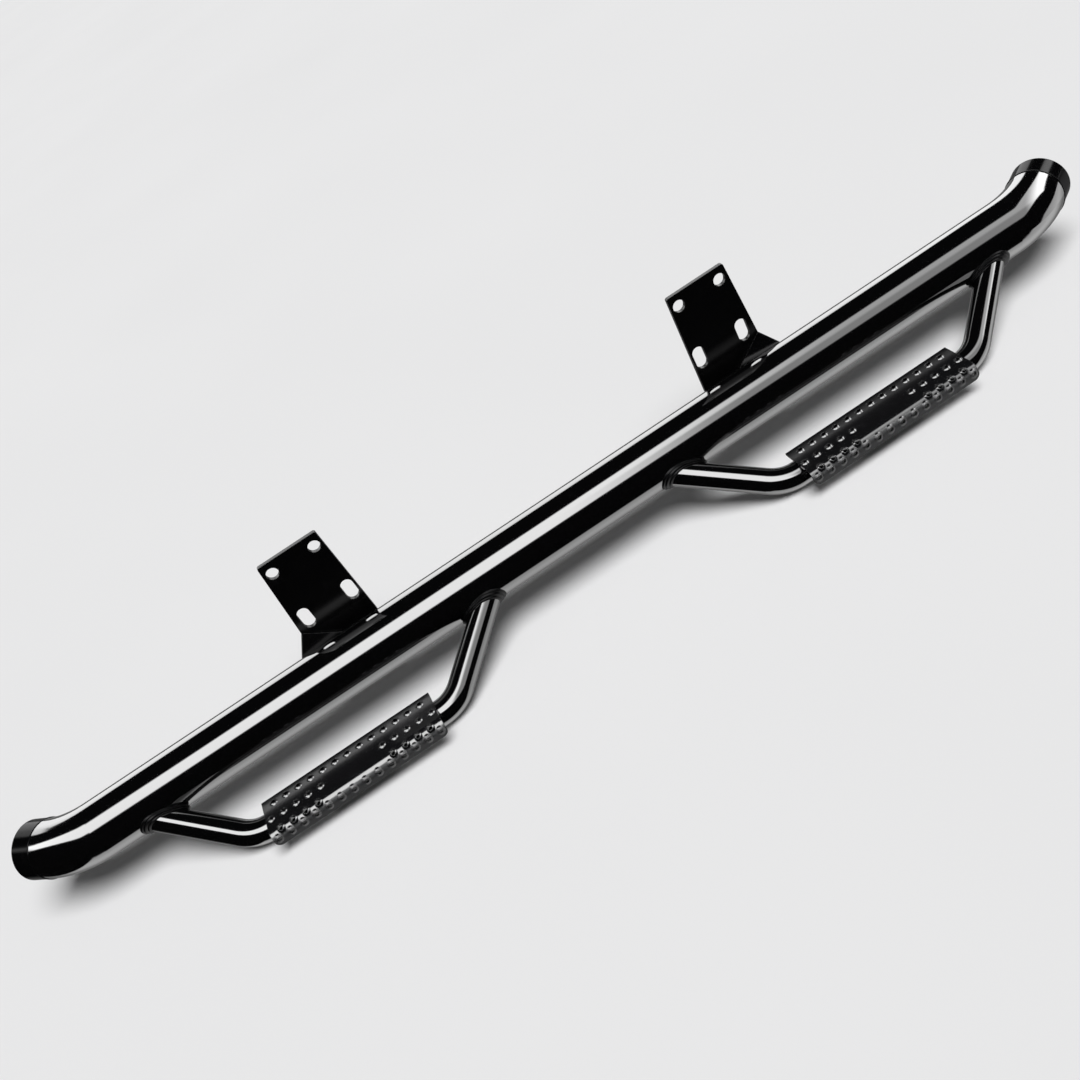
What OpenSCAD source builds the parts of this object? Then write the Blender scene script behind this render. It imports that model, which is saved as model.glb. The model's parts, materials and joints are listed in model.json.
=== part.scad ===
// Drop-step side bar for a pickup: a bent main tube, two step hoops, two formed treads
// and two folded mounting brackets, all welded into one rigid piece.
// Millimetres. X runs along the bar towards the front, Y is inboard, Z is up.
// The origin is the middle of the front bracket's two round holes, on its inboard face.

/* [Main tube] */
// outside diameter of the main tube
tube_od = 76.2; // [66:0.1:84]
// wall of the main tube
tube_wall = 2.1; // [1.5:0.1:4]
// straight middle run between the two end bends
straight_length = 1380; // [1340:5:1500]
// angle each end turns inboard
end_bend_angle = 36; // [20:1:60]
// centreline radius of the end bends
end_bend_radius = 120; // [90:1:160]
// height of the dome on each end cap
cap_dome = 8; // [4:0.5:14]
// straight skirt of each end cap, which carries the tube on past its bend
cap_rim = 29; // [10:1:80]

/* [Step hoops] */
// outside diameter of the hoop tube
hoop_od = 33.4; // [28:0.1:38]
// wall of the hoop tube
hoop_wall = 2.8; // [2:0.1:4]
// from the straight run's front end to the front hoop's fore leg, axis to axis
front_hoop_inset = 10; // [6:1:30]
// from the straight run's rear end to the rear hoop's aft leg, axis to axis
rear_hoop_inset = 36; // [20:1:60]
// between the two hoops, from leg axis to leg axis on the main axis
hoop_middle_gap = 218; // [180:1:260]
// distance between the two corners of the lower run
hoop_run_span = 288; // [280:1:310]
// distance from the main axis to the axis of the lower run
hoop_drop = 124; // [118:1:150]
// slope of the hoop plane below level
hoop_slope = 30; // [20:1:45]
// centreline radius of the hoop bends
hoop_bend_radius = 55; // [45:1:58]

/* [Step pads] */
// straight hoop tube left bare at each end of the tread
pad_end_gap = 1.1; // [0.5:0.1:20]
// flat width of the tread before the nose
pad_flat = 49; // [46:0.5:56]
// outside radius of the rounded nose
pad_nose_radius = 14; // [10:0.5:16]
// straight skirt below the nose
pad_skirt = 6; // [5:0.5:16]
// sheet thickness of the tread
pad_sheet = 3; // [2:0.5:4]
// how far the inboard edge reaches past the hoop axis
pad_inboard = 23; // [17:0.5:26]
// corner radius at the ends of the skirt
pad_corner = 8; // [3:0.5:10]
// dimples in the row by the inboard edge; the staggered rows hold one more
dimple_count = 13; // [9:2:13]
// dimples left out of the middle of the nose row; the row inboard of it leaves one fewer
dimple_gap = 5; // [3:2:7]
// radius of the domed wall of a raised dimple
dimple_dome = 7; // [6.5:0.1:7.4]
// tread left between the end dimples and its end
dimple_edge = 0.6; // [0.2:0.1:4]
// diameter of the pierced hole in a dimple
dimple_hole = 5.6; // [3:0.2:6.4]
// height of a dimple's pierced rim above the sheet
dimple_height = 2; // [1.4:0.1:2.4]

/* [Brackets] */
// distance between the two bracket centres
bracket_spacing = 600; // [560:1:640]
// width of the mounting plate at its top
plate_width = 84; // [80:1:100]
// how much wider the plate is at its fold, on the side towards the bar's end
plate_splay_outer = 11; // [2:0.5:16]
// how much wider the plate is at its fold, on the side towards the bar's middle
plate_splay_inner = 3; // [1:0.5:8]
// thickness of the bracket plate
plate_thick = 6; // [4:0.5:8]
// distance from the main axis to the outboard face of the plate
plate_stand = 42; // [41:0.5:46]
// height of the plate's top edge above the main axis
plate_top = 162; // [158:1:190]
// corner radius at the top of the plate
plate_corner = 3; // [1:0.5:8]
// height of the round holes above the main axis
hole_height = 145; // [135:1:148]
// from the plate's side at its top to the middle of each round hole
hole_edge = 11.7; // [11:0.1:17]
// diameter of the round holes
hole_diameter = 16.5; // [10:0.5:17]
// height of the slot centres above the main axis
slot_height = 65; // [60:1:100]
// overall length of each slot
slot_length = 32; // [20:1:33]
// from the line of the plate's side at its top to the middle of each slot
slot_edge = 9.4; // [8.5:0.1:14]
// width of each slot
slot_width = 16.5; // [10:0.5:17]
// height of the fold line above the main axis
fold_height = 18; // [16:0.5:22]
// inside radius of the fold
fold_radius = 4; // [3:0.5:6]
// angle of the folded foot from upright
fold_angle = 45; // [40:1:50]
// extra width of the foot on each side where it meets the tube
foot_flare = 3; // [1:0.5:8]
// thickness of the corner gusset
gusset_thick = 4; // [3:0.5:6]
// reach of the gusset across the plate
gusset_run = 42; // [30:1:60]
// height of the gusset up the plate's outer edge, above the fold
gusset_rise = 32; // [28:1:36]

/* [Welds] */
// leg of the beads round the hoop legs
hoop_bead = 5; // [3:0.5:7]
// leg of the beads round the bracket feet
bracket_bead = 5; // [3:0.5:6]
// leg of the beads under the treads
pad_bead = 6; // [4:0.5:8]
// height of the beads round the end caps
cap_bead = 0.8; // [0.5:0.1:2.5]

/* [Hidden] */
$fn = 96;

tube_r = tube_od / 2;
tube_ir = tube_r - tube_wall;
half_straight = straight_length / 2;
over = 1;
seam = 0.04;

// the row origin, measured in the frame whose origin is the middle of the straight run
origin_x = bracket_spacing / 2;
origin_y = plate_stand + plate_thick;
origin_z = hole_height;

// hoop leg geometry, in the plane of the hoop
hoop_root_span = (straight_length - front_hoop_inset - rear_hoop_inset - hoop_middle_gap) / 2;
leg_step = (hoop_root_span - hoop_run_span) / 2;
leg_angle = atan2(hoop_drop, leg_step);
leg_length = hoop_drop / sin(leg_angle);
bend_tangent = hoop_bend_radius * tan(leg_angle / 2);
hoop_r = hoop_od / 2;
front_hoop_x = half_straight - front_hoop_inset - hoop_root_span / 2;
rear_hoop_x = rear_hoop_inset - half_straight + hoop_root_span / 2;

// lower run of the hoop, measured from the main axis
run_y = -hoop_drop * cos(hoop_slope);
run_z = -hoop_drop * sin(hoop_slope);

// the tread lies on the straight part of the lower run
pad_length = hoop_run_span - 2 * bend_tangent - 2 * pad_end_gap;

// tread levels, measured from the axis of the lower run
tread_under = hoop_r;
tread_top = hoop_r + pad_sheet;
nose_centre_y = pad_inboard - pad_flat;
nose_centre_z = tread_top - pad_nose_radius;
skirt_bottom = nose_centre_z - pad_skirt;
pad_outer_y = nose_centre_y - pad_nose_radius;
// how far the two flat rows of dimples lie from the inboard edge
row_one_inset = 11.5;
row_two_inset = 35.5;
row_one_y = pad_inboard - row_one_inset;
row_two_y = pad_inboard - row_two_inset;
row_three_angle = 34;
row_four_angle = 72;
// how deep the dimples are rooted in the sheet, and how far their domes' centres lie below it
dimple_root = 1.9;
dimple_sink = sqrt(pow(dimple_dome, 2) - pow(dimple_hole / 2, 2)) - dimple_height;
dimple_base_r = sqrt(pow(dimple_dome, 2) - pow(dimple_sink - dimple_root, 2));
dimple_pitch = (pad_length - 2 * (dimple_base_r + dimple_edge)) / dimple_count;

// the treads' beads stop this far from their ends
pad_bead_inset = 15;

// beads are built from three nested steps, a quarter round in outline
bead_steps = [[1, 0.38], [0.8, 0.72], [0.38, 1]];

module placed() { translate([-origin_x, -origin_y, -origin_z]) children(); }
module along_x(r, length) { rotate([0, 90, 0]) cylinder(r = r, h = length, center = true); }

// straight tube from z = 0 and a bent length of tube turning in the XY plane;
// the straight tube's seam line faces -Y, as the bend's does on its outer side
module tube_piece(r, inner, length) {
    rotate([0, 0, -90]) difference() {
        cylinder(r = r, h = length);
        translate([0, 0, -over]) cylinder(r = inner, h = length + 2 * over);
    }
}
// a bend is a hair fuller than the straight tube and overlaps it by the same hair at both ends
module tube_bend(bend_r, angle, r, inner) {
    lap = seam / bend_r * 180 / PI;
    rotate([0, 0, -lap]) rotate_extrude(angle = angle + 2 * lap) translate([bend_r, 0]) difference() {
        circle(r = r + seam);
        circle(r = inner - seam);
    }
}

// local frame at the end of a bend, +Z pointing out of the tube
module end_frame(side) {
    translate([
        side * (half_straight + end_bend_radius * sin(end_bend_angle)),
        end_bend_radius * (1 - cos(end_bend_angle)), 0
    ])
        rotate([0, 0, side > 0 ? end_bend_angle : 180 - end_bend_angle])
            rotate([0, 90, 0]) children();
}

module main_tube() {
    color([0.03, 0.03, 0.035]) placed() {
        translate([-half_straight, 0, 0]) rotate([0, 90, 0])
            tube_piece(tube_r, tube_ir, straight_length);
        for (side = [0, 1]) mirror([side, 0, 0])
            translate([half_straight, end_bend_radius, 0]) rotate([0, 0, -90])
                rotate_extrude(angle = end_bend_angle) translate([end_bend_radius, 0]) difference() {
                    circle(r = tube_r);
                    circle(r = tube_ir);
                }
    }
}

// solid outside of the main tube near one end bend, for coping what meets it there
module main_solid(side, grow) {
    along_x(tube_r + grow, straight_length);
    translate([side * half_straight, end_bend_radius, 0])
        rotate([0, 0, side > 0 ? -90 : -90 - end_bend_angle])
            rotate_extrude(angle = end_bend_angle)
                translate([end_bend_radius, 0]) circle(r = tube_r + grow);
}
// outer legs can reach the end bends, inner legs only meet the straight run
module meets_main(x, side, grow) {
    if (x * side > 0) main_solid(side, grow);
    else along_x(tube_r + grow, straight_length);
}

// half section of a cap: the dome's circle cuts off the rim's wall, outside and inside
module cap_profile() {
    dome_r = (tube_r * tube_r + cap_dome * cap_dome) / (2 * cap_dome);
    difference() {
        intersection() {
            translate([0, cap_rim + cap_dome - dome_r]) circle(r = dome_r, $fn = 180);
            square([tube_r, cap_rim + cap_dome + over]);
        }
        intersection() {
            translate([0, cap_rim + cap_dome - dome_r]) circle(r = dome_r - tube_wall, $fn = 180);
            translate([0, -over]) square([tube_ir, cap_rim + cap_dome + over]);
        }
    }
}

module end_cap(side) {
    placed() end_frame(side) rotate_extrude() cap_profile();
}
module cap_weld(side) {
    bead_r = cap_bead + 1;
    placed() end_frame(side) rotate_extrude() difference() {
        translate([tube_r - 1, 0]) circle(r = bead_r, $fn = 32);
        translate([tube_r - bead_r - over, -bead_r - over]) square([bead_r + over, 2 * bead_r + 2 * over]);
    }
}
module front_end_cap() { color([0.03, 0.03, 0.035]) end_cap(1); }
module rear_end_cap() { color([0.03, 0.03, 0.035]) end_cap(-1); }
module front_cap_weld() { color([0.04, 0.04, 0.045]) cap_weld(1); }
module rear_cap_weld() { color([0.04, 0.04, 0.045]) cap_weld(-1); }

// frame whose XY plane is the plane of a hoop, -Y pointing out and down
module hoop_frame(x) { translate([x, 0, 0]) rotate([hoop_slope, 0, 0]) children(); }

// frame at a lower corner of the hoop, +Z pointing up the leg
module leg_frame(side) {
    translate([side * hoop_run_span / 2, -hoop_drop, 0])
        rotate([0, 0, side > 0 ? leg_angle : 180 - leg_angle]) rotate([0, 90, 0]) children();
}
module leg_bar(side, r, skip) {
    leg_frame(side) translate([0, 0, skip]) cylinder(r = r, h = leg_length - skip);
}

module hoop(x) {
    half_run = hoop_run_span / 2 - bend_tangent;
    hoop_inner = hoop_r - hoop_wall;
    placed() {
        hoop_frame(x) translate([-half_run, -hoop_drop, 0]) rotate([0, 90, 0])
            tube_piece(hoop_r, hoop_inner, 2 * half_run);
        for (side = [-1, 1]) {
            hoop_frame(x) translate([side * half_run, hoop_bend_radius - hoop_drop, 0])
                rotate([0, 0, side > 0 ? -90 : -90 - leg_angle])
                    tube_bend(hoop_bend_radius, leg_angle, hoop_r, hoop_inner);
            difference() {
                hoop_frame(x) leg_frame(side) translate([0, 0, bend_tangent])
                    tube_piece(hoop_r, hoop_inner, leg_length - bend_tangent);
                meets_main(x, side, 0);
            }
        }
    }
}
module hoop_weld(x, side) {
    placed() difference() {
        union() for (s = bead_steps) intersection() {
            hoop_frame(x) leg_bar(side, hoop_r + hoop_bead * s[0], bend_tangent);
            meets_main(x, side, hoop_bead * s[1]);
        }
        hoop_frame(x) leg_bar(side, hoop_r, 0);
        meets_main(x, side, 0);
    }
}
module front_hoop() { color([0.03, 0.03, 0.035]) hoop(front_hoop_x); }
module rear_hoop() { color([0.03, 0.03, 0.035]) hoop(rear_hoop_x); }
module front_hoop_fore_weld() { color([0.04, 0.04, 0.045]) hoop_weld(front_hoop_x, 1); }
module front_hoop_aft_weld() { color([0.04, 0.04, 0.045]) hoop_weld(front_hoop_x, -1); }
module rear_hoop_fore_weld() { color([0.04, 0.04, 0.045]) hoop_weld(rear_hoop_x, 1); }
module rear_hoop_aft_weld() { color([0.04, 0.04, 0.045]) hoop_weld(rear_hoop_x, -1); }

// outline of the formed tread seen from the end, outboard edge to the left
module pad_profile() {
    translate([nose_centre_y, tread_under]) square([pad_flat, pad_sheet]);
    intersection() {
        translate([nose_centre_y, nose_centre_z]) difference() {
            circle(r = pad_nose_radius);
            circle(r = pad_nose_radius - pad_sheet);
        }
        translate([pad_outer_y, nose_centre_z]) square(pad_nose_radius);
    }
    translate([pad_outer_y, skirt_bottom]) square([pad_sheet, pad_skirt]);
}

// side view of the skirt's cut corners
module skirt_corner_cut(side) {
    translate([side * (pad_length / 2 - pad_corner), pad_outer_y, skirt_bottom + pad_corner])
        rotate([90, 0, 0]) linear_extrude(height = 4 * pad_sheet, center = true) difference() {
            translate([side > 0 ? 0 : -pad_corner - over, -pad_corner - over])
                square([pad_corner + over, pad_corner + over]);
            circle(r = pad_corner);
        }
}

// places children at each dimple of a row of `count`, leaving out the middle `gap` of them
module dimple_row(y, z, tilt, count, gap) {
    middle = (count - 1) / 2;
    for (i = [0 : count - 1]) if (abs(i - middle) >= gap / 2)
        translate([(i - middle) * dimple_pitch, y, z]) rotate([tilt, 0, 0]) children();
}
module nose_row(angle, count, gap) {
    dimple_row(
        nose_centre_y - pad_nose_radius * sin(angle),
        nose_centre_z + pad_nose_radius * cos(angle), angle, count, gap
    ) children();
}
module all_dimples() {
    dimple_row(row_one_y, tread_top, 0, dimple_count, 0) children();
    dimple_row(row_two_y, tread_top, 0, dimple_count + 1, dimple_gap - 1) children();
    nose_row(row_three_angle, dimple_count, dimple_gap) children();
    nose_row(row_four_angle, dimple_count + 1, 0) children();
}

// a low dome, its top taken off by the hole
module dimple_body() {
    rotate_extrude() intersection() {
        translate([0, -dimple_sink]) circle(r = dimple_dome);
        translate([0, -dimple_root]) square([dimple_dome, dimple_root + dimple_dome]);
    }
}
module step_pad(x) {
    placed() translate([x, run_y, run_z]) difference() {
        union() {
            rotate([90, 0, 90]) linear_extrude(height = pad_length, center = true) pad_profile();
            all_dimples() dimple_body();
        }
        all_dimples() translate([0, 0, -2 * pad_sheet])
            cylinder(d = dimple_hole, h = 2 * pad_sheet + dimple_dome);
        for (side = [-1, 1]) skirt_corner_cut(side);
    }
}
module pad_weld(x) {
    placed() translate([x, run_y, run_z]) difference() {
        for (side = [-1, 1])
            translate([0, side * (3 + pad_bead / 2), tread_under - pad_bead / 2])
                cube([pad_length - 2 * pad_bead_inset, pad_bead, pad_bead], center = true);
        along_x(hoop_r, pad_length);
    }
}
module front_step_pad() { color([0.05, 0.05, 0.055]) step_pad(front_hoop_x); }
module rear_step_pad() { color([0.05, 0.05, 0.055]) step_pad(rear_hoop_x); }
module front_pad_weld() { color([0.04, 0.04, 0.045]) pad_weld(front_hoop_x); }
module rear_pad_weld() { color([0.04, 0.04, 0.045]) pad_weld(rear_hoop_x); }

// brackets are drawn for the rear end, whose outer side is -X, and mirrored for the front
module bracket_frame(end) {
    translate([end * bracket_spacing / 2, 0, 0]) mirror([end > 0 ? 1 : 0, 0, 0]) children();
}

hole_spacing = plate_width - 2 * hole_edge;
slot_spacing = plate_width - 2 * slot_edge;
base_outer = plate_width / 2 + plate_splay_outer;
base_inner = plate_width / 2 + plate_splay_inner;
module plate_outline() {
    height = plate_top - fold_height;
    polygon([
        [-base_outer, 0], [base_inner, 0], [plate_width / 2, height - plate_corner],
        [plate_width / 2 - plate_corner, height], [plate_corner - plate_width / 2, height],
        [-plate_width / 2, height - plate_corner]
    ]);
    for (side = [-1, 1])
        translate([side * (plate_width / 2 - plate_corner), height - plate_corner])
            circle(r = plate_corner);
}
module slot_outline() {
    reach = (slot_length - slot_width) / 2;
    square([slot_width, 2 * reach], center = true);
    for (side = [-1, 1]) translate([0, side * reach]) circle(d = slot_width);
}
module hole_outlines() {
    for (side = [-1, 1]) {
        translate([side * hole_spacing / 2, hole_height - fold_height]) circle(d = hole_diameter);
        translate([side * slot_spacing / 2, slot_height - fold_height]) slot_outline();
    }
}

// frame at the centre of the fold, turned so that -Z points down the foot
module foot_frame() {
    translate([0, plate_stand - fold_radius, fold_height]) rotate([-fold_angle, 0, 0]) children();
}
foot_reach = 24;
module foot_solid(grow) {
    foot_frame() translate([0, fold_radius + plate_thick + grow, 0]) rotate([90, 0, 0])
        linear_extrude(height = plate_thick + 2 * grow) polygon([
            [-base_outer - grow, 0], [base_inner + grow, 0],
            [base_inner + foot_flare + grow, -foot_reach],
            [-base_outer - foot_flare - grow, -foot_reach]
        ]);
}
// the fold is a hair fuller and narrower than the plate, and laps it and the foot by a hair
module fold_solid() {
    lap = seam / fold_radius * 180 / PI;
    translate([0, plate_stand - fold_radius, fold_height]) rotate([90, 0, 90])
        translate([0, 0, seam - base_outer]) rotate([0, 0, -fold_angle - lap])
            rotate_extrude(angle = fold_angle + 2 * lap)
                translate([fold_radius - seam, 0]) square([plate_thick + 2 * seam, base_outer + base_inner - 2 * seam]);
}
module bracket_blank() {
    translate([0, plate_stand + plate_thick, fold_height]) rotate([90, 0, 0])
        linear_extrude(height = plate_thick) difference() {
            plate_outline();
            hole_outlines();
        }
    fold_solid();
    foot_solid(0);
}
module bracket_body(end) {
    difference() {
        bracket_frame(end) bracket_blank();
        along_x(tube_r, straight_length);
    }
}

// three-cornered brace: A on the plate's outer edge, B on the plate by the fold, C low on the foot
gusset_slope = atan2(gusset_rise, gusset_run);
// its top corner sits on the plate's splayed edge
gusset_x = -plate_width / 2 - plate_splay_outer * (1 - gusset_rise / (plate_top - fold_height - plate_corner));
gusset_tilt = 30;
gusset_drop = 40;
module gusset_body(end) {
    difference() {
        bracket_frame(end) translate([gusset_x, plate_stand, fold_height + gusset_rise])
            rotate([0, gusset_slope, 0]) rotate([-gusset_tilt, 0, 0]) rotate([90, 0, 0])
                linear_extrude(height = gusset_thick) polygon([
                    [0, 0], [gusset_run / cos(gusset_slope), 0],
                    [gusset_run / cos(gusset_slope) + 2, -3], [0, -gusset_drop]
                ]);
        bracket_frame(end) bracket_blank();
        along_x(tube_r, straight_length);
    }
}
module bracket_weld(end) {
    placed() difference() {
        union() for (s = bead_steps) intersection() {
            bracket_frame(end) foot_solid(bracket_bead * s[0]);
            along_x(tube_r + bracket_bead * s[1], straight_length);
        }
        bracket_frame(end) bracket_blank();
        gusset_body(end);
        along_x(tube_r, straight_length);
    }
}
module front_bracket() { color([0.03, 0.03, 0.035]) placed() bracket_body(1); }
module rear_bracket() { color([0.03, 0.03, 0.035]) placed() bracket_body(-1); }
module front_bracket_gusset() { color([0.03, 0.03, 0.035]) placed() gusset_body(1); }
module rear_bracket_gusset() { color([0.03, 0.03, 0.035]) placed() gusset_body(-1); }
module front_bracket_weld() { color([0.04, 0.04, 0.045]) bracket_weld(1); }
module rear_bracket_weld() { color([0.04, 0.04, 0.045]) bracket_weld(-1); }

main_tube();
front_end_cap();
rear_end_cap();
front_cap_weld();
rear_cap_weld();
front_hoop();
rear_hoop();
front_hoop_fore_weld();
front_hoop_aft_weld();
rear_hoop_fore_weld();
rear_hoop_aft_weld();
front_step_pad();
rear_step_pad();
front_pad_weld();
rear_pad_weld();
front_bracket();
rear_bracket();
front_bracket_gusset();
rear_bracket_gusset();
front_bracket_weld();
rear_bracket_weld();
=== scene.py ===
"""Gloss black drop-step side bar on a pale studio floor, seen from above its outboard side."""
import json
import math

import bpy
from mathutils import Matrix, Vector


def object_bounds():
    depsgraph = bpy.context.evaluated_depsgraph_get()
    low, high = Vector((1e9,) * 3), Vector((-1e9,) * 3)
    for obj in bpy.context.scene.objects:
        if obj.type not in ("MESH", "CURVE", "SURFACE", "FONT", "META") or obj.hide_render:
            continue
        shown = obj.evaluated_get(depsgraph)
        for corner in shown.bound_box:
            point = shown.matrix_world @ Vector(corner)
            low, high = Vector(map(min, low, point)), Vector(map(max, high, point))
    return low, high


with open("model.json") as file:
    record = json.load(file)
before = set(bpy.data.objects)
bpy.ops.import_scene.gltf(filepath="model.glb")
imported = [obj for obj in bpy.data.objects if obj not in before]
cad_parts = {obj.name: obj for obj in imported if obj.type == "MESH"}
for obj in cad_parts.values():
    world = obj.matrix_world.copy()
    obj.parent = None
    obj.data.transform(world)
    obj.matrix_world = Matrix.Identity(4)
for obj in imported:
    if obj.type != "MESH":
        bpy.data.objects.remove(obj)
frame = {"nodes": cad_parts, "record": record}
cad_low, cad_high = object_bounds()
nodes = frame["nodes"]

# Camera: turned, tipped and rolled as in the photo; metres, and millimetres for the lens
YAW, PITCH, ROLL = math.radians(2.93574), math.radians(35.25800), math.radians(-31.91269)
CAMERA_AT = Vector((-0.39693, -1.29544, 0.73354))
FOCAL = 40.0
SENSOR = 36.0
NEAR, FAR = 0.02, 200.0

forward = Vector((math.sin(YAW) * math.cos(PITCH), math.cos(YAW) * math.cos(PITCH), -math.sin(PITCH)))
level_right = Vector((math.cos(YAW), -math.sin(YAW), 0.0))
level_up = level_right.cross(forward)
right = math.cos(ROLL) * level_right + math.sin(ROLL) * level_up
up = -math.sin(ROLL) * level_right + math.cos(ROLL) * level_up

camera_data = bpy.data.cameras.new("studio_camera")
camera_data.sensor_fit = "HORIZONTAL"
camera_data.sensor_width = SENSOR
camera_data.lens = FOCAL
camera_data.clip_start, camera_data.clip_end = NEAR, FAR
camera = bpy.data.objects.new("studio_camera", camera_data)
turn = Matrix((right, up, -forward)).transposed().to_4x4()
camera.matrix_world = Matrix.Translation(CAMERA_AT) @ turn
bpy.context.scene.collection.objects.link(camera)
bpy.context.scene.camera = camera
bpy.context.scene.view_settings.view_transform = "Standard"


class Tree:
    """A node tree with short calls for the nodes used here."""

    def __init__(self, tree):
        self.tree = tree
        tree.nodes.clear()

    def add(self, kind, **settings):
        n = self.tree.nodes.new(kind)
        for key, value in settings.items():
            setattr(n, key, value)
        return n

    def link(self, source, target):
        self.tree.links.new(source, target)

    def put(self, target, value):
        if hasattr(value, "is_output"):
            self.link(value, target)
        else:
            target.default_value = value

    def math(self, operation, a, b=0.0):
        n = self.add("ShaderNodeMath", operation=operation)
        self.put(n.inputs[0], a)
        self.put(n.inputs[1], b)
        return n.outputs[0]

    def total(self, first, *others):
        for value in others:
            first = self.math("ADD", first, value)
        return first

    def product(self, first, *others):
        for value in others:
            first = self.math("MULTIPLY", first, value)
        return first

    def step(self, value, low, high, start=0.0, end=1.0):
        """start below low, end above high, and an even S between them."""
        n = self.add("ShaderNodeMapRange", interpolation_type="SMOOTHSTEP")
        self.put(n.inputs["Value"], value)
        n.inputs["From Min"].default_value = low
        n.inputs["From Max"].default_value = high
        n.inputs["To Min"].default_value = start
        n.inputs["To Max"].default_value = end
        return n.outputs["Result"]

    def noise(self, where, scale, detail, rough):
        n = self.add("ShaderNodeTexNoise")
        self.link(where, n.inputs["Vector"])
        n.inputs["Scale"].default_value = scale
        n.inputs["Detail"].default_value = detail
        n.inputs["Roughness"].default_value = rough
        return n.outputs["Fac"]

    def mix(self, amount, a, b):
        n = self.add("ShaderNodeMix", data_type="RGBA")
        self.put(n.inputs["Factor"], amount)
        self.put(n.inputs["A"], a)
        self.put(n.inputs["B"], b)
        return n.outputs["Result"]

    def bump(self, height, strength, distance, normal):
        n = self.add("ShaderNodeBump")
        self.link(height, n.inputs["Height"])
        n.inputs["Strength"].default_value = strength
        n.inputs["Distance"].default_value = distance
        self.link(normal, n.inputs["Normal"])
        return n.outputs["Normal"]


# Coat: sizes of its patches, dust, flecks, orange peel and grain, per metre
CLOUD_SCALE, DUST_SCALE, FLECK_SCALE = 9.0, 46.0, 900.0
PEEL_SCALE, GRAIN_SCALE = 210.0, 1400.0
# how strongly dust and rubbing lighten the black
DUST_SHARE, RUB_SHARE = 0.35, 0.6
# how the gloss varies, as shares of its roughness, and what rubbing adds to it
CLOUD_GLOSS, DUST_GLOSS, RUB_ROUGH = 0.55, 0.35, 0.10
# cosines between which a rounded edge counts as rubbed
RUB_FROM, RUB_FULL = 0.985, 0.90
# the clear coat over the black
CLEAR_SHARE, CLEAR_IOR = 0.6, 1.7
# the dull part of a tread, and the height over which it begins
DULL_ROUGH, DULL_SOFT = 0.42, 0.0010
PEEL_STRENGTH, FLECK_STRENGTH = 0.5, 0.3


def coat_material(name, colour, gloss, peel, grain, clear, edge, ior=1.5, level=0.5, matt_below=None):
    """Black powder coat: orange peel, fine grain, uneven gloss, faint dust and rubbed edges.

    Below the height matt_below the finish is duller, as on a tread polished by shoes only on top.
    """
    material = bpy.data.materials.new(name)
    material.use_nodes = True
    t = Tree(material.node_tree)
    out = t.add("ShaderNodeOutputMaterial")
    shader = t.add("ShaderNodeBsdfPrincipled")
    t.link(shader.outputs[0], out.inputs["Surface"])
    where = t.add("ShaderNodeTexCoord").outputs["Object"]

    cloud = t.noise(where, CLOUD_SCALE, 5.0, 0.55)
    dust = t.step(t.noise(where, DUST_SCALE, 6.0, 0.62), 0.56, 0.78)
    flecks = t.step(t.noise(where, FLECK_SCALE, 2.0, 0.5), 0.70, 0.80)

    # rubbed edges: where a rounded copy of the normal leaves the true one
    rounded = t.add("ShaderNodeBevel", samples=4)
    rounded.inputs["Radius"].default_value = edge
    true = t.add("ShaderNodeNewGeometry").outputs["Normal"]
    dot = t.add("ShaderNodeVectorMath", operation="DOT_PRODUCT")
    t.link(rounded.outputs[0], dot.inputs[0])
    t.link(true, dot.inputs[1])
    worn = t.product(t.step(dot.outputs["Value"], RUB_FROM, RUB_FULL), t.step(cloud, 0.35, 0.65, 0.25, 1.0))

    dark = (*colour, 1.0)
    dusty = tuple(c * 2.6 + 0.002 for c in colour) + (1.0,)
    rubbed = tuple(c * 3.5 + 0.008 for c in colour) + (1.0,)
    body = t.mix(t.product(dust, DUST_SHARE), dark, dusty)
    body = t.mix(t.product(worn, RUB_SHARE), body, rubbed)
    t.link(body, shader.inputs["Base Color"])

    rough = t.total(
        gloss,
        t.product(t.math("SUBTRACT", cloud, 0.5), gloss * CLOUD_GLOSS),
        t.product(dust, gloss * DUST_GLOSS),
        t.product(worn, RUB_ROUGH),
    )
    if matt_below is not None:
        place = t.add("ShaderNodeSeparateXYZ")
        t.link(where, place.inputs[0])
        dull = t.step(place.outputs["Z"], matt_below - DULL_SOFT, matt_below + DULL_SOFT, DULL_ROUGH, 0.0)
        rough = t.total(rough, dull)
    t.link(rough, shader.inputs["Roughness"])

    shader.inputs["Metallic"].default_value = 0.0
    shader.inputs["IOR"].default_value = ior
    shader.inputs["Specular IOR Level"].default_value = level
    shader.inputs["Coat Weight"].default_value = clear
    shader.inputs["Coat Roughness"].default_value = gloss * CLEAR_SHARE
    shader.inputs["Coat IOR"].default_value = CLEAR_IOR

    waves = t.bump(t.noise(where, PEEL_SCALE, 2.0, 0.45), PEEL_STRENGTH, peel, rounded.outputs[0])
    waves = t.bump(t.noise(where, GRAIN_SCALE, 3.0, 0.6), PEEL_STRENGTH, grain, waves)
    waves = t.bump(flecks, FLECK_STRENGTH, grain, waves)
    t.link(waves, shader.inputs["Normal"])
    return material


GLOSS_BLACK = (0.0015, 0.0015, 0.0017)
CAP_BLACK = (0.0016, 0.0016, 0.0018)
PLATE_BLACK = (0.0018, 0.0018, 0.0020)
TREAD_BLACK = (0.0060, 0.0060, 0.0066)
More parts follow.
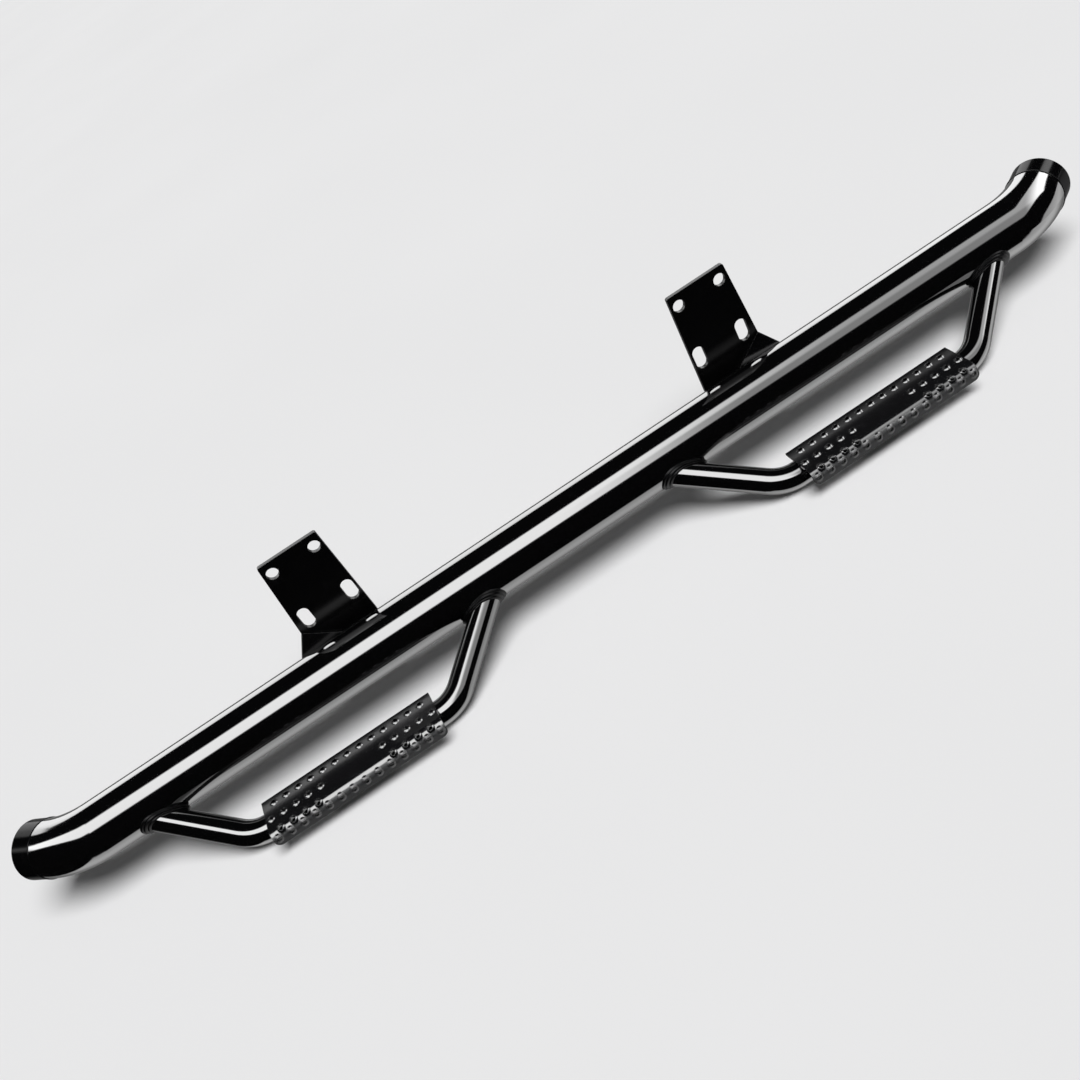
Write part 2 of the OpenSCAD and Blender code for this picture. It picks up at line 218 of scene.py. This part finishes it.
# just under the nose's turn, in the row's frame
NOSE_HEIGHT = -0.1925
PAINTS = {
    "tube_paint": coat_material(
        "tube_gloss_coat", GLOSS_BLACK, gloss=0.075, peel=0.000030, grain=0.000003, clear=0.9, edge=0.0006),
    "hoop_paint": coat_material(
        "hoop_gloss_coat", GLOSS_BLACK, gloss=0.080, peel=0.000030, grain=0.000003, clear=0.9, edge=0.0006),
    "bracket_paint": coat_material(
        "bracket_coat", PLATE_BLACK, gloss=0.16, peel=0.000035, grain=0.000005, clear=0.0, edge=0.0009,
        level=0.22),
    "weld_paint": coat_material(
        "weld_coat", PLATE_BLACK, gloss=0.30, peel=0.000120, grain=0.000008, clear=0.0, edge=0.0009,
        level=0.10),
    "tread_paint": coat_material(
        "tread_coat", TREAD_BLACK, gloss=0.12, peel=0.000045, grain=0.000008, clear=0.0, edge=0.0006,
        ior=1.8, matt_below=NOSE_HEIGHT),
}
# the end caps and their beads mirror next to nothing in the photo
cap_paint = coat_material(
    "end_cap_coat", CAP_BLACK, gloss=0.12, peel=0.000030, grain=0.000003, clear=0.0, edge=0.0006, level=0.05)
for part in frame["record"]["subparts"]:
    piece = nodes[part["node"]]
    paint = cap_paint if "_cap" in part["node"] else PAINTS[part["material_slot"]]
    if not piece.material_slots:
        piece.data.materials.append(paint)
    for place in piece.material_slots:
        place.material = paint

# Floor: just under the part, so wide that its edge is the horizon
FLOOR_Z = cad_low.z - 0.0005
FLOOR_HALF = 60.0
FLOOR_DARKER, FLOOR_PALER = (0.80, 0.80, 0.805, 1.0), (0.83, 0.83, 0.835, 1.0)
floor_mesh = bpy.data.meshes.new("studio_floor")
corners = [(-FLOOR_HALF, -FLOOR_HALF), (FLOOR_HALF, -FLOOR_HALF), (FLOOR_HALF, FLOOR_HALF), (-FLOOR_HALF, FLOOR_HALF)]
floor_mesh.from_pydata([(x, y, FLOOR_Z) for x, y in corners], [], [(0, 1, 2, 3)])
floor = bpy.data.objects.new("studio_floor", floor_mesh)
bpy.context.scene.collection.objects.link(floor)
floor.visible_glossy = False
floor_look = bpy.data.materials.new("studio_floor")
floor_look.use_nodes = True
t = Tree(floor_look.node_tree)
floor_out = t.add("ShaderNodeOutputMaterial")
floor_shader = t.add("ShaderNodeBsdfDiffuse")
t.link(floor_shader.outputs[0], floor_out.inputs["Surface"])
patches = t.noise(t.add("ShaderNodeTexCoord").outputs["Object"], 1.6, 2.0, 0.4)
t.link(t.mix(patches, FLOOR_DARKER, FLOOR_PALER), floor_shader.inputs["Color"])
floor_mesh.materials.append(floor_look)

# Light: one broad soft light above and a little in front; the world fills in the rest
KEY_FROM = Vector((0.13, -0.32, 1.0))
KEY_ENERGY, KEY_ANGLE = 2.95, math.radians(44)
key_data = bpy.data.lights.new("soft_key", "SUN")
key_data.energy = KEY_ENERGY
key_data.angle = KEY_ANGLE
key = bpy.data.objects.new("soft_key", key_data)
key.rotation_mode = "QUATERNION"
key.rotation_quaternion = KEY_FROM.normalized().to_track_quat("Z", "Y")
key.visible_glossy = False
bpy.context.scene.collection.objects.link(key)

# World levels, where 1 is white: the backdrop, the fill from all round, and what the gloss mirrors
BACKDROP, FILL = 0.83, 0.10
ROOM = 0.004
BOX, BOX_FRONT_UPPER, BOX_FRONT_LOWER, BOX_END = 7.8, 3.1, 1.9, 5.5
WALL_LOW, WALL_HIGH = 3.5, 2.25
# levels of the mirrored ground: in its painted shadow by the bar, and further out
GROUND_PAINTED_SHADOW, GROUND_FAR = 0.22, 1.75

world = bpy.data.worlds.new("studio")
bpy.context.scene.world = world
world.use_nodes = True
w = Tree(world.node_tree)
world_out = w.add("ShaderNodeOutputWorld")
background = w.add("ShaderNodeBackground")
w.link(background.outputs[0], world_out.inputs["Surface"])
ray = w.add("ShaderNodeLightPath")
split = w.add("ShaderNodeSeparateXYZ")
w.link(w.add("ShaderNodeTexCoord").outputs["Generated"], split.inputs[0])
ray_x, ray_y, ray_z = split.outputs

# angle of a direction round the bar: 0 outboard and level, 90 straight up, 180 inboard
round_bar = w.product(w.math("ARCTAN2", ray_z, w.product(ray_y, -1.0)), 180.0 / math.pi)


def past(edge, soft, above=True):
    """1 on one side of an edge that may itself swing along the bar, fading over +-soft degrees."""
    ends = (0.0, 1.0) if above else (1.0, 0.0)
    return w.step(w.math("SUBTRACT", round_bar, edge), -soft, soft, *ends)


# a long soft box above: it leans inboard past both ends of the bar and dims towards the front
low_edge = w.total(36.5, w.product(ray_x, -12.0), w.step(ray_x, -0.95, -0.45, 48.0, 0.0),
                   w.step(ray_x, -0.50, -0.28, 6.0, 0.0), w.step(ray_x, 0.58, 0.90, 0.0, 38.0))
high_edge = w.total(77.0, w.step(ray_x, -0.85, -0.25, 34.0, 0.0), w.step(ray_x, 0.52, 0.76, 0.0, 52.0))
upper = w.step(round_bar, 52.0, 64.0)
tone = w.total(w.product(upper, w.step(ray_x, 0.10, 0.36, BOX, BOX_FRONT_UPPER)),
               w.product(w.math("SUBTRACT", 1.0, upper), w.step(ray_x, 0.05, 0.26, BOX, BOX_FRONT_LOWER)),
               w.step(ray_x, 0.64, 0.82, 0.0, BOX_END))
overhead = w.product(past(low_edge, 3.0), past(high_edge, 3.0, above=False), tone,
                     w.step(ray_x, -0.90, -0.80), w.step(ray_x, 0.875, 0.905, 1.0, 0.0))

# the pale wall behind
wall_edge = w.total(147.0, w.step(ray_x, -0.48, -0.36, -13.0, 0.0), w.step(ray_x, 0.36, 0.46, 0.0, 6.0))
behind = w.product(past(wall_edge, 2.0), w.step(round_bar, 154.0, 178.0, WALL_LOW, WALL_HIGH),
                   w.step(ray_x, -0.62, -0.50))

# the ground in front as the gloss mirrors it, with a painted shadow that darkens it towards the bar
ground_edge = w.total(-56.0, w.step(ray_x, -0.70, -0.50, -56.0, 0.0), w.step(ray_x, 0.46, 0.95, 0.0, 28.0))
below = w.product(past(ground_edge, 2.8, above=False),
                  w.step(round_bar, -122.0, -72.0, GROUND_PAINTED_SHADOW, GROUND_FAR), w.step(ray_x, -0.80, -0.66))

seen, mirrored = ray.outputs["Is Camera Ray"], ray.outputs["Is Glossy Ray"]
other = w.math("SUBTRACT", 1.0, w.math("MAXIMUM", seen, mirrored))
level = w.total(w.product(seen, BACKDROP), w.product(mirrored, w.total(overhead, behind, below, ROOM)),
                w.product(other, FILL))
background.inputs["Color"].default_value = (1.0, 1.0, 1.0, 1.0)
w.link(level, background.inputs["Strength"])
